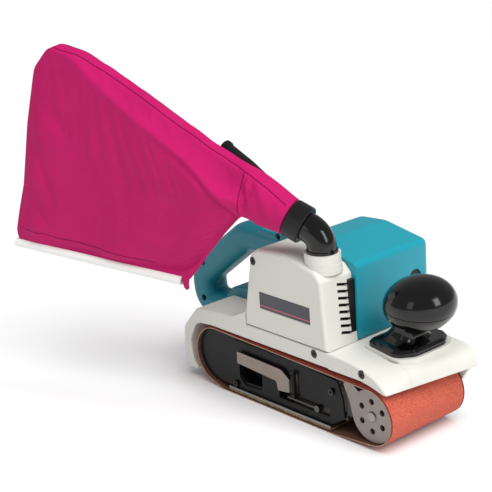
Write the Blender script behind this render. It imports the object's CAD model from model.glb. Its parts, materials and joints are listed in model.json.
import json
import math

import bpy
from mathutils import Matrix, Vector, noise


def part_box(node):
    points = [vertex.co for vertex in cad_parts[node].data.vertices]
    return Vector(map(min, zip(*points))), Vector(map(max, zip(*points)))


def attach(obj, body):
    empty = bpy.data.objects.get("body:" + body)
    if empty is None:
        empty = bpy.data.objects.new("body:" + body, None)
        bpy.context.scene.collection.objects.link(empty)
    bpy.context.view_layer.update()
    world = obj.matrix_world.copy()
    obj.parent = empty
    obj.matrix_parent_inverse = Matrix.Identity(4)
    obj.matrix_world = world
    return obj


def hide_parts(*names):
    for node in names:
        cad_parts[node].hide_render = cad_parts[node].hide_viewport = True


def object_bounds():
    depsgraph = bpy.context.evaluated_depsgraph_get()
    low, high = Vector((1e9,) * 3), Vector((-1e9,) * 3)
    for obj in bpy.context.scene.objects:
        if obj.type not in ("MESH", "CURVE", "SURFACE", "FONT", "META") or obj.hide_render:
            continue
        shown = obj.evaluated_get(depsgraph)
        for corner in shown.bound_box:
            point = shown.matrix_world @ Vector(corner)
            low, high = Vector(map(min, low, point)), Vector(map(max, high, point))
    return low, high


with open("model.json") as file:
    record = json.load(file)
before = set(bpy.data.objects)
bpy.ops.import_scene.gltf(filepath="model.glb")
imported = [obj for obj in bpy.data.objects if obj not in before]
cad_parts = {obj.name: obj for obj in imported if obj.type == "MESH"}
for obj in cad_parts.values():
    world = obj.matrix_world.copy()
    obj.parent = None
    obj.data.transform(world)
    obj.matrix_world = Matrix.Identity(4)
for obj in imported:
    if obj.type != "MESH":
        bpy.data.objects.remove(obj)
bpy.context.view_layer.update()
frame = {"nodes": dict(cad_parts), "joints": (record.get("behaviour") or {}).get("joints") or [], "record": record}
nodes = frame["nodes"]
scene = bpy.context.scene
MM = 0.001


# ---- small helpers ----
def srgb(r, g, b):
    """Linear colour of a display colour given from 0 to 255."""
    def linear(v):
        v /= 255.0
        return v / 12.92 if v <= 0.04045 else ((v + 0.055) / 1.055) ** 2.4
    return (linear(r), linear(g), linear(b), 1.0)


def scaled(color, k):
    return (min(color[0] * k, 1.0), min(color[1] * k, 1.0), min(color[2] * k, 1.0), 1.0)


def smooth(t):
    t = max(0.0, min(1.0, t))
    return t * t * (3 - 2 * t)


def joint(name):
    return next(j for j in frame["joints"] if j["name"] == name)


def center(node):
    low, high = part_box(node)
    return (low + high) / 2


def make_mesh(name, verts, faces, material, body, smooth_shade=True):
    mesh = bpy.data.meshes.new(name)
    mesh.from_pydata([tuple(v) for v in verts], [], faces)
    mesh.validate()
    for face in mesh.polygons:
        face.use_smooth = smooth_shade
    obj = bpy.data.objects.new(name, mesh)
    scene.collection.objects.link(obj)
    obj.data.materials.append(material)
    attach(obj, body)
    return obj


def tube(name, points, radius, material, body):
    """A thin round strand along the points, in metres."""
    curve = bpy.data.curves.new(name, "CURVE")
    curve.dimensions = "3D"
    curve.bevel_depth = radius
    curve.bevel_resolution = 3
    curve.use_fill_caps = True
    spline = curve.splines.new("POLY")
    spline.points.add(len(points) - 1)
    for spot, p in zip(spline.points, points):
        spot.co = (p[0], p[1], p[2], 1)
    spline.use_smooth = True
    obj = bpy.data.objects.new(name, curve)
    scene.collection.objects.link(obj)
    curve.materials.append(material)
    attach(obj, body)
    return obj


# ---- camera, at the photograph's viewing angle ----
RIGHT = Vector((0.6605, 0.7483, -0.0608))
UP = Vector((-0.1994, 0.2529, 0.9469))
BACK = Vector((0.7239, -0.6133, 0.3162))
camera_data = bpy.data.cameras.new("camera")
camera_data.sensor_width = 36
camera_data.lens = 108.2
camera_data.clip_start = 0.05
camera = bpy.data.objects.new("camera", camera_data)
rows = Matrix((RIGHT.normalized(), UP.normalized(), BACK.normalized())).transposed()
camera.matrix_world = Matrix.Translation((1.0004, -0.9213, 0.6140)) @ rows.to_4x4()
scene.collection.objects.link(camera)
scene.camera = camera


# ---- materials ----
class Look:
    """A procedural material made of object-space textures."""

    def __init__(self, name, rough=0.5, metal=0.0, specular=0.5, coat=0.0, sheen=0.0):
        self.mat = bpy.data.materials.new(name)
        self.mat.use_nodes = True
        self.tree = self.mat.node_tree
        self.bsdf = self.tree.nodes["Principled BSDF"]
        self.set("Roughness", rough)
        self.set("Metallic", metal)
        self.set("Specular IOR Level", specular)
        self.set("Coat Weight", coat)
        self.set("Coat Roughness", 0.08)
        self.set("Sheen Weight", sheen)
        self.set("Sheen Roughness", 0.45)
        self.where = self.add("ShaderNodeTexCoord").outputs["Object"]
        self.normal = None

    def add(self, kind, **settings):
        made = self.tree.nodes.new(kind)
        for key, value in settings.items():
            setattr(made, key, value)
        return made

    def set(self, socket, value):
        self.bsdf.inputs[socket].default_value = value

    def link(self, source, target):
        self.tree.links.new(source, target)

    def stretched(self, x, y, z):
        made = self.add("ShaderNodeMapping")
        made.inputs["Scale"].default_value = (x, y, z)
        self.link(self.where, made.inputs["Vector"])
        return made.outputs["Vector"]

    def noise(self, scale, detail=3.0, rough=0.55, where=None):
        made = self.add("ShaderNodeTexNoise")
        made.inputs["Scale"].default_value = scale
        made.inputs["Detail"].default_value = detail
        made.inputs["Roughness"].default_value = rough
        self.link(where or self.where, made.inputs["Vector"])
        return made.outputs["Fac"]

    def cells(self, scale, where=None):
        made = self.add("ShaderNodeTexVoronoi")
        made.inputs["Scale"].default_value = scale
        self.link(where or self.where, made.inputs["Vector"])
        return made.outputs["Distance"]

    def waves(self, direction, scale, distortion=0.0, where=None):
        made = self.add("ShaderNodeTexWave", bands_direction=direction)
        made.inputs["Scale"].default_value = scale
        made.inputs["Distortion"].default_value = distortion
        self.link(where or self.where, made.inputs["Vector"])
        return made.outputs["Fac"]

    def axis(self, name):
        made = self.add("ShaderNodeSeparateXYZ")
        self.link(self.where, made.inputs["Vector"])
        return made.outputs[name]

    def math(self, operation, a, b=0.0):
        made = self.add("ShaderNodeMath", operation=operation)
        for socket, value in zip(made.inputs, (a, b)):
            if isinstance(value, (int, float)):
                socket.default_value = value
            else:
                self.link(value, socket)
        return made.outputs["Value"]

    def remap(self, value, low, high, to_low, to_high):
        made = self.add("ShaderNodeMapRange", clamp=True)
        self.link(value, made.inputs["Value"])
        for name, number in (("From Min", low), ("From Max", high), ("To Min", to_low), ("To Max", to_high)):
            made.inputs[name].default_value = number
        return made.outputs["Result"]

    def mix(self, share, a, b):
        made = self.add("ShaderNodeMix", data_type="RGBA")
        self.link(share, made.inputs["Factor"])
        for name, value in (("A", a), ("B", b)):
            socket = next(s for s in made.inputs if s.name == name and s.type == "RGBA")
            if isinstance(value, tuple):
                socket.default_value = value
            else:
                self.link(value, socket)
        return next(s for s in made.outputs if s.type == "RGBA")

    def color(self, source, average):
        self.bsdf.inputs["Base Color"].default_value = average
        self.link(source, self.bsdf.inputs["Base Color"])

    def rough(self, source):
        self.link(source, self.bsdf.inputs["Roughness"])

    def soft_edges(self, radius):
        made = self.add("ShaderNodeBevel")
        made.samples = 4
        made.inputs["Radius"].default_value = radius
        self.normal = made.outputs["Normal"]
        return self

    def bump(self, height, strength, distance):
        made = self.add("ShaderNodeBump")
        made.inputs["Strength"].default_value = strength
        made.inputs["Distance"].default_value = distance
        self.link(height, made.inputs["Height"])
        if self.normal is not None:
            self.link(self.normal, made.inputs["Normal"])
        self.normal = made.outputs["Normal"]
        return self

    def done(self):
        if self.normal is not None:
            self.link(self.normal, self.bsdf.inputs["Normal"])
        return self.mat


def moulded(name, color, rough, grain=0.10, edge=0.0006, coat=0.0, mottle=0.04, specular=0.4):
    """Moulded plastic: fine spark-eroded grain, faint mottling and softened edges."""
    look = Look(name, rough=rough, coat=coat, specular=specular)
    cloud = look.noise(22, 4)
    look.color(look.mix(cloud, scaled(color, 1 - mottle), scaled(color, 1 + mottle)), color)
    look.rough(look.remap(look.noise(60, 5), 0.25, 0.75, rough - 0.05, rough + 0.07))
    look.soft_edges(edge)
    look.bump(look.noise(1500, 2, 0.6), grain, 0.0004)
    return look.done()


def metal(name, color, rough, brushed=(1, 1, 1), edge=0.0003, mottle=0.12):
    """Bare metal with machining lines along one direction."""
    look = Look(name, rough=rough, metal=1.0)
    lines = look.noise(900, 3, 0.6, look.stretched(*brushed))
    cloud = look.noise(45, 4)
    look.color(look.mix(cloud, scaled(color, 1 - mottle), scaled(color, 1 + mottle)), color)
    look.rough(look.remap(lines, 0.3, 0.7, rough - 0.08, rough + 0.12))
    look.soft_edges(edge)
    look.bump(lines, 0.12, 0.0002)
    return look.done()


def rubber(name, color, rough=0.7):
    look = Look(name, rough=rough, specular=0.35)
    look.color(look.mix(look.noise(80, 4), scaled(color, 0.8), scaled(color, 1.3)), color)
    look.rough(look.remap(look.noise(140, 3), 0.3, 0.7, rough - 0.08, rough + 0.1))
    look.soft_edges(0.0006)
    look.bump(look.noise(1100, 3), 0.2, 0.0004)
    return look.done()


def woven(name, color, dark, pitch=0.00075):
    """Plain woven nylon: crossing threads, soft sheen, faint uneven dye."""
    look = Look(name, rough=0.78, specular=0.2, sheen=0.12)
    look.set("Sheen Tint", scaled(color, 1.6))
    over = look.waves("DIAGONAL", 1 / pitch / 6.0, 0.4)
    turned = look.add("ShaderNodeMapping")
    turned.inputs["Rotation"].default_value = (0.0, math.radians(90), math.radians(18))
    look.link(look.where, turned.inputs["Vector"])
    under = look.waves("DIAGONAL", 1 / pitch / 6.0, 0.4, turned.outputs["Vector"])
    cloth = look.math("MULTIPLY", over, under)
    dye = look.noise(28, 4)
    shade = look.math("ADD", look.math("MULTIPLY", cloth, 0.45), look.math("MULTIPLY", dye, 0.55))
    look.color(look.mix(shade, dark, color), scaled(color, 0.9))
    look.bump(cloth, 0.35, 0.0003)
    look.bump(look.noise(90, 3), 0.10, 0.003)
    return look.done()


def abrasive(name, color, dark):
    """Aluminium oxide grain in resin: coarse speckle with small bright crystals and worn patches."""
    look = Look(name, rough=0.85, specular=0.3)
    grain = look.cells(1500)
    speck = look.noise(1500, 2, 0.7)
    cloud = look.noise(18, 4)
    base = look.mix(look.remap(speck, 0.36, 0.64, 0, 1), dark, color)
    base = look.mix(look.remap(cloud, 0.35, 0.7, 0.0, 0.25), base, scaled(color, 1.35))
    side = look.math("ABSOLUTE", look.axis("Y"))
    edge = look.remap(side, 0.0478, 0.0489, 0.0, 0.9)
    look.color(look.mix(edge, base, srgb(92, 24, 20)), color)
    look.bump(grain, 0.55, 0.0005)
    look.bump(look.noise(700, 4), 0.3, 0.0004)
    return look.done()


def layered(name, color, dark, scale, rough=0.85):
    look = Look(name, rough=rough, specular=0.25)
    look.color(look.mix(look.remap(look.noise(scale, 5), 0.35, 0.65, 0, 1), dark, color), color)
    look.bump(look.noise(scale * 2, 4), 0.3, 0.0004)
    return look.done()


def badge_look(name):
    """Dark printed plate with one thin coloured line and no lettering."""
    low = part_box("badge_plate")[0]
    look = Look(name, rough=0.35, coat=0.3)
    plate = srgb(42, 44, 54)
    height = look.axis("Z")
    line = look.math("MULTIPLY", look.remap(height, low.z + 0.0026, low.z + 0.0028, 0, 1),
                     look.remap(height, low.z + 0.0036, low.z + 0.0038, 1, 0))
    base = look.mix(look.noise(120, 3), scaled(plate, 0.9), scaled(plate, 1.1))
    look.color(look.mix(line, base, srgb(196, 70, 92)), plate)
    look.soft_edges(0.0003)
    look.bump(look.noise(900, 2), 0.05, 0.0002)
    return look.done()


def lever_look(name):
    """Zinc plated strip with a dark patina, and an oiled hinge barrel at its front end."""
    color = srgb(150, 139, 130)
    look = Look(name, rough=0.36, metal=1.0)
    lines = look.noise(700, 3, 0.6, look.stretched(4, 1, 1))
    tint = look.mix(look.noise(60, 5), scaled(color, 0.72), scaled(color, 1.12))
    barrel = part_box("tension_lever")[1].x - 7.2 * MM
    dark = look.remap(look.axis("X"), barrel, barrel + 0.4 * MM, 0, 1)
    look.color(look.mix(dark, tint, srgb(40, 38, 37)), color)
    look.rough(look.remap(lines, 0.3, 0.7, 0.3, 0.5))
    look.soft_edges(0.0003)
    look.bump(lines, 0.12, 0.0002)
    return look.done()


GREY = srgb(214, 213, 205)
TEAL = srgb(24, 146, 164)
MAGENTA = srgb(208, 28, 108)
BELT_RED = srgb(216, 110, 88)

materials = {
    "housing_grey": moulded("housing_grey", GREY, 0.42, grain=0.10),
    "housing_teal": moulded("housing_teal", TEAL, 0.40, grain=0.10),
    "handle_teal": moulded("handle_teal", scaled(TEAL, 0.68), 0.42, grain=0.12),
    "black_plastic": moulded("black_plastic", srgb(22, 22, 23), 0.34, specular=0.3),
    "gloss_black": moulded("gloss_black", srgb(9, 9, 10), 0.14, grain=0.02, coat=0.35, specular=0.3),
    "rail_white": moulded("rail_white", srgb(236, 236, 234), 0.35, grain=0.04),
    "badge": badge_look("badge"),
    "screw_steel": metal("screw_steel", srgb(70, 68, 66), 0.38),
    "black_rubber": rubber("black_rubber", srgb(24, 24, 25), 0.55),
    "belt_rubber": rubber("belt_rubber", srgb(30, 30, 30), 0.75),
    "roller_rubber": rubber("roller_rubber", srgb(36, 35, 35), 0.75),
    "abrasive_cloth": abrasive("abrasive_cloth", BELT_RED, srgb(128, 42, 32)),
    "bag_fabric": woven("bag_fabric", MAGENTA, srgb(164, 22, 88)),
    "platen_steel": metal("platen_steel", srgb(150, 148, 145), 0.35, (6, 1, 6)),
    "cork": layered("cork", srgb(170, 138, 98), srgb(110, 82, 54), 260),
    "graphite": layered("graphite", srgb(52, 52, 56), srgb(24, 24, 27), 500, 0.5),
    "machined_steel": metal("machined_steel", srgb(152, 148, 144), 0.34, (1, 8, 1)),
    "bearing_steel": metal("bearing_steel", srgb(190, 190, 190), 0.2, (1, 8, 1)),
    "machined_alloy": metal("machined_alloy", srgb(186, 186, 184), 0.35, (1, 8, 1)),
    "cast_alloy": metal("cast_alloy", srgb(150, 149, 147), 0.5),
    "end_plate_alloy": metal("end_plate_alloy", srgb(150, 141, 135), 0.48, (8, 1, 1)),
    "lamination": metal("lamination", srgb(92, 92, 95), 0.5, (1, 30, 1)),
    "copper": metal("copper", srgb(196, 128, 92), 0.3, (1, 6, 1)),
    "brass": metal("brass", srgb(200, 172, 110), 0.3, (1, 6, 1)),
    "spring_steel": metal("spring_steel", srgb(140, 140, 140), 0.35),
    "dark_plate": moulded("dark_plate", srgb(24, 23, 23), 0.30, grain=0.05, specular=0.16),
    "lever_steel": lever_look("lever_steel"),
}
slots = {entry["node"]: entry["material_slot"] for entry in frame["record"]["subparts"]}
# inner metal that the dust has darkened
darker = {
    "pull_rod": metal("oiled_steel", srgb(98, 94, 90), 0.36, (8, 1, 1)),
    "idler_yoke": metal("sooty_alloy", srgb(84, 82, 80), 0.55),
}
for name, obj in nodes.items():
    obj.data.materials.clear()
    obj.data.materials.append(darker.get(name, materials[slots[name]]))


# ---- sanding belt: grain outside, woven backing inside ----
def make_belt():
    front = center("idler_roller")
    rear = center("drive_roller")
    mesh = nodes["sanding_belt"].data.copy()
    mesh.name = "belt_loop"
    obj = bpy.data.objects.new("belt_loop", mesh)
    scene.collection.objects.link(obj)
    backing = woven("belt_backing", srgb(120, 84, 66), srgb(76, 52, 42))
    trim = layered("belt_edge", srgb(196, 168, 148), srgb(120, 78, 62), 800)
    mesh.materials.append(backing)
    mesh.materials.append(trim)
    span = front - rear
    for face in mesh.polygons:
        normal = face.normal
        if abs(normal.y) > 0.8:
            face.material_index = 2
            continue
        along = max(0.0, min(1.0, (face.center.x - rear.x) / span.x))
        core = rear + span * along
        outward = Vector((face.center.x - core.x, 0, face.center.z - core.z))
        face.material_index = 0 if normal.dot(outward) > 0 else 1
    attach(obj, "belt")
    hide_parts("sanding_belt")


make_belt()


# ---- dust bag: a sewn bag whose two sides hang from a ridge that carries on from the neck ----
TOP_LINE = [(-7.6, 16.2), (22, 38), (44, 50), (64, 61), (86, 74.5), (110, 89.5), (135, 105.5), (160, 121.5),
            (185, 136.5), (210, 149), (238, 156.5)]
LOW_LINE = [(7.8, -16.4), (30, -10.4), (48, -3), (65, -17), (86, -41), (106, -66), (119, -74.5), (165, -70),
            (214, -64.2), (262, -58.8), (311, -53.4)]
END_LINE = [(311, -53.4), (314.5, -43), (312, -33), (303.3, -14.5), (284.2, 75.7), (267.5, 133), (250, 152),
            (238, 156.5)]
NECK_HALF = 18.2
RIDGE_HALF = 26.0
HEM_HALF = 0.9
SEAM_DROP = 4.6
OUTLET = Vector(joint("bag_pull")["axis"]).normalized()
HEADING = Vector((OUTLET.x, OUTLET.y, 0)).normalized()
ACROSS = HEADING.cross(Vector((0, 0, 1)))
BAG_START = center("bag_collar") + OUTLET * 8.5 * MM


def spline_at(points, t):
    """Smooth curve through the points, t from 0 to 1 over equal steps."""
    last = len(points) - 1
    x = max(0.0, min(0.999999, t)) * last
    i = int(x)
    f = x - i
    p0 = Vector(points[max(i - 1, 0)])
    p1 = Vector(points[i])
    p2 = Vector(points[min(i + 1, last)])
    p3 = Vector(points[min(i + 2, last)])
    a = (p2 - p0) * 0.5
    b = (p3 - p1) * 0.5
    f2, f3 = f * f, f * f * f
    return p1 * (2 * f3 - 3 * f2 + 1) + a * (f3 - 2 * f2 + f) + p2 * (3 * f2 - 2 * f3) + b * (f3 - f2)


def along_line(points, t):
    """Point at the share t of the length of a line with corners."""
    spots = [Vector(p) for p in points]
    lengths = [(b - a).length for a, b in zip(spots, spots[1:])]
    left = t * sum(lengths)
    for a, b, length in zip(spots, spots[1:], lengths):
        if left <= length:
            return a.lerp(b, left / length)
        left -= length
    return spots[-1]


def bag_flat(u, v):
    """Point of the bag's middle sheet, (s, z) in mm.

    u runs from the neck to the far end, and v from the lower edge to the top seam."""
    low = spline_at(LOW_LINE, u)
    top = spline_at(TOP_LINE, u)
    bow = along_line(END_LINE, v) - Vector(LOW_LINE[-1]).lerp(Vector(TOP_LINE[-1]), v)
    return low.lerp(top, v) + bow * smooth((u - 0.45) / 0.55)


def bag_height(u):
    return (spline_at(TOP_LINE, u) - spline_at(LOW_LINE, u)).length


def ridge_depth(u):
    """How far under the top seam the ridge's crease runs, in mm."""
    return 46 - 20 * smooth((u - 0.16) / 0.36) - 20 * smooth((u - 0.6) / 0.4)


def bump_at(x, middle, width):
    return math.exp(-((x - middle) / width) ** 2)


def bag_half(u, v):
    """Half thickness of the bag in mm: round at the neck, then a ridge with a creased panel under it."""
    height = bag_height(u)
    depth = (1 - v) * height
    ridge = ridge_depth(u)
    wide = NECK_HALF + (RIDGE_HALF - NECK_HALF) * smooth((u - 0.05) / 0.3) - 14 * smooth((u - 0.55) / 0.45)
    if depth < ridge:
        body = wide * (depth / ridge) ** 0.72
    else:
        fall = (depth - ridge) / max(height - ridge, 1)
        body = wide + (HEM_HALF - wide) * fall + 3.5 * math.sin(math.pi * fall) * smooth(2 - 2 * u)
    body -= 4.0 * bump_at(depth, ridge + 6, 4.0) * smooth((u - 0.14) / 0.1) * smooth((0.85 - u) / 0.4)
    round_neck = NECK_HALF * math.sqrt(max(0.0, 1 - (2 * v - 1) ** 2))
    share = smooth((u - 0.10) / 0.2)
    half = round_neck * (1 - share) + body * share
    close = math.sqrt(max(0.0, 1 - ((u - 0.95) / 0.05) ** 2)) if u > 0.95 else 1.0
    return max(half * (0.2 + 0.8 * close), HEM_HALF * smooth(u * 12) + 0.05)


def bag_folds(u, v, side):
    """Soft folds of the slack cloth, in mm, outward."""
    flat = bag_flat(u, v)
    depth = (1 - v) * bag_height(u)
    calm = smooth(u / 0.12) * smooth((1 - u) / 0.06) * smooth(v / 0.1) * smooth(depth / 12)
    lean = flat.x + 0.35 * flat.y
    hang = math.sin(lean * 0.055 + 1.1 * side) * 3.0 * smooth((depth - 45) / 60)
    hang += math.sin(lean * 0.023 + 2.2 + side) * 3.4 * smooth((depth - 30) / 60)
    radius = math.hypot(flat.x - 20, flat.y - 12)
    angle = math.atan2(flat.y - 12, flat.x - 20)
    fan = math.sin(angle * 11 + side) * 4.5 * math.exp(-radius / 110) * smooth((radius - 16) / 50)
    neck = math.sin(u * 85 + v * 8 * side) * 0.9 * smooth((0.34 - u) / 0.15)
    place = Vector((flat.x, flat.y, 40 * side))
    crumple = noise.noise(place / 38) * 1.8 + noise.noise(place / 15) * 0.5
    return (hang + fan + neck + crumple) * calm


def bag_point(u, v, side):
    flat = bag_flat(u, v)
    half = bag_half(u, v) + bag_folds(u, v, side)
    wave = 1.2 * noise.noise(Vector((flat.x / 17, 0, 3))) * smooth((v - 0.85) / 0.15) * smooth(u / 0.15)
    return BAG_START + (HEADING * flat.x + Vector((0, 0, 1)) * (flat.y + wave) + ACROSS * side * half) * MM


BAG_ALONG, BAG_DOWN = 120, 50                        # cells from neck to far end, and from hem to top seam
BAG_RING = 2 * BAG_DOWN


def bag_hold(u, v):
    """How firmly a point is held while the cloth settles: 1 at the sewn edges, the neck and the rail."""
    depth = (1 - v) * bag_height(u)
    edges = max(smooth((0.14 - u) / 0.06), smooth((u - 0.93) / 0.05), smooth((0.06 - v) / 0.04),
                smooth((9 - depth) / 4))
    ridge = 0.9 * bump_at(depth, ridge_depth(u) + 3, 7)
    return max(edges, ridge)


def settle(obj, holds, frames=18, cap=0.005):
    """Let the cloth of obj settle under its weight and a little air, then keep the result in its mesh."""
    group = obj.vertex_groups.new(name="held")
    for i, hold in enumerate(holds):
        group.add([i], hold, "REPLACE")
    cloth = obj.modifiers.new("settle", "CLOTH")
    cloth.settings.quality = 5
    cloth.settings.mass = 0.12
    cloth.settings.tension_stiffness = 14
    cloth.settings.compression_stiffness = 14
    cloth.settings.shear_stiffness = 5
    cloth.settings.bending_stiffness = 0.15
    cloth.settings.shrink_min = -0.012
    cloth.settings.use_pressure = True
    cloth.settings.uniform_pressure_force = 0.1
    cloth.settings.vertex_group_mass = "held"
    cloth.collision_settings.use_collision = False
    for n in range(1, frames + 1):
        scene.frame_set(n)
    settled = obj.evaluated_get(bpy.context.evaluated_depsgraph_get()).data
    moves = [b.co - a.co for a, b in zip(obj.data.vertices, settled.vertices)]
    obj.modifiers.remove(cloth)
    obj.vertex_groups.remove(group)
    scene.frame_set(1)
    for vertex, move in zip(obj.data.vertices, moves):
        vertex.co += move * min(1.0, cap / max(move.length, 1e-9))


def make_bag():
    levels = [0.5 - 0.5 * math.cos(math.pi * j / BAG_DOWN) for j in range(BAG_DOWN + 1)]
    loop = [(v, -1) for v in levels[:-1]] + [(v, 1) for v in reversed(levels[1:])]
    grid = [(i / BAG_ALONG, v, side) for i in range(BAG_ALONG + 1) for v, side in loop]
    faces = []
    for i in range(BAG_ALONG):
        for j in range(BAG_RING):
            k = (j + 1) % BAG_RING
            faces.append((i * BAG_RING + j, i * BAG_RING + k, (i + 1) * BAG_RING + k, (i + 1) * BAG_RING + j))
    faces.append(tuple(BAG_ALONG * BAG_RING + j for j in range(BAG_RING)))
    faces.append(tuple(BAG_RING - 1 - j for j in range(BAG_RING)))
    verts = [bag_point(u, v, side) for u, v, side in grid]
    obj = make_mesh("bag_cloth", verts, faces, materials["bag_fabric"], "bag")
    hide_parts("dust_bag")
    settle(obj, [bag_hold(u, v) for u, v, side in grid])
    fine = obj.modifiers.new("fine", "SUBSURF")
    fine.levels = 1
    fine.render_levels = 1
    return [v.co.copy() for v in obj.data.vertices]


def on_bag(spots, u, v, side):
    """Point of the settled cloth."""
    x = u * BAG_ALONG
    y = math.acos(1 - 2 * v) / math.pi * BAG_DOWN
    i, j = min(int(x), BAG_ALONG - 1), min(int(y), BAG_DOWN - 1)

    def at(row, level):
        return spots[row * BAG_RING + (level if side < 0 else (BAG_RING - level) % BAG_RING)]

    near = at(i, j).lerp(at(i, j + 1), y - j)
    return near.lerp(at(i + 1, j).lerp(at(i + 1, j + 1), y - j), x - i)


def make_bag_trim(spots):
    thread = woven("bag_seam", srgb(120, 14, 62), srgb(84, 8, 42), 0.0005)
    for side, label in ((-1, "near"), (1, "far")):
        top = [(0.02 + 0.965 * i / 120) for i in range(121)]
        row = [on_bag(spots, u, 1 - SEAM_DROP / bag_height(u), side) for u in top]
        tube("bag_top_seam_" + label, row, 0.42 * MM, thread, "bag")
        row = [on_bag(spots, 0.185 + 0.01 * math.sin(j / 10), j / 40, side) for j in range(3, 37)]
        tube("bag_neck_seam_" + label, row, 0.35 * MM, thread, "bag")
        row = [on_bag(spots, 0.66 + 0.32 * i / 30, 0.085, side) for i in range(31)]
        tube("bag_hem_seam_" + label, row, 0.3 * MM, thread, "bag")
    make_pull_tab()


def make_pull_tab():
    """Small folded strap that hangs from the lower front corner, beside the rail's end."""
    corner = Vector(spline_at(LOW_LINE, 0.595))
    steps, length, thick = 10, 13.0, 1.1
    verts, faces = [], []
    for i in range(steps + 1):
        t = i / steps
        half = (3.6 - 1.4 * t) * math.sqrt(max(0.0, 1 - max(0.0, t - 0.8) ** 2 * 20))
        middle = corner + Vector((-1.5 + 1.2 * math.sin(3 * t), 3 - length * t))
        for s, y in ((-half, -thick), (half, -thick), (half, thick), (-half, thick)):
            offset = HEADING * (middle.x + s) + Vector((0, 0, 1)) * middle.y + ACROSS * y
            verts.append(BAG_START + offset * MM)
    for i in range(steps):
        for j in range(4):
            k = (j + 1) % 4
            faces.append((4 * i + j, 4 * i + k, 4 * i + 4 + k, 4 * i + 4 + j))
    faces.append((3, 2, 1, 0))
    faces.append(tuple(4 * steps + j for j in range(4)))
    make_mesh("bag_pull_tab", verts, faces, materials["bag_fabric"], "bag", smooth_shade=False)


make_bag_trim(make_bag())


# ---- studio ----
def make_floor():
    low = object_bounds()[0]
    look = Look("studio_floor", rough=0.6, specular=0.2)
    pale = (0.93, 0.93, 0.93, 1)
    look.color(look.mix(look.noise(3, 2), scaled(pale, 0.995), pale), pale)
    mesh = bpy.data.meshes.new("studio_floor")
    r = 60                                           # metres, past the horizon of every view
    mesh.from_pydata([(-r, -r, low.z), (r, -r, low.z), (r, r, low.z), (-r, r, low.z)], [], [(0, 1, 2, 3)])
    obj = bpy.data.objects.new("studio_floor", mesh)
    mesh.materials.append(look.done())
    scene.collection.objects.link(obj)


def soft_box(name, at, toward, size, power):
    data = bpy.data.lights.new(name, "AREA")
    data.shape = "RECTANGLE"
    data.size, data.size_y = size
    data.energy = power
    obj = bpy.data.objects.new(name, data)
    obj.location = at
    obj.rotation_euler = (Vector(toward) - Vector(at)).to_track_quat("-Z", "Y").to_euler()
    scene.collection.objects.link(obj)


def wide_light(direction, strength, spread):
    """Even light from above, like a white ceiling; it shows in no reflection."""
    data = bpy.data.lights.new("overhead", "SUN")
    data.energy = strength
    data.angle = spread
    obj = bpy.data.objects.new("overhead", data)
    obj.rotation_euler = (-Vector(direction)).to_track_quat("-Z", "Y").to_euler()
    obj.visible_glossy = False
    scene.collection.objects.link(obj)


make_floor()
aim = (0.0, 0.0, 0.1)
soft_box("key", (1.55, 0.10, 0.80), aim, (0.5, 0.9), 7)
soft_box("fill", (0.25, -1.55, 0.75), aim, (0.5, 0.9), 1.5)
wide_light((0.45, -0.05, 1.0), 2.9, math.radians(55))
world = bpy.data.worlds.new("studio")
world.use_nodes = True
world.node_tree.nodes["Background"].inputs["Color"].default_value = (1, 1, 1, 1)
world.node_tree.nodes["Background"].inputs["Strength"].default_value = 0.30
scene.world = world
scene.view_settings.view_transform = "Standard"
scene.view_settings.look = "None"
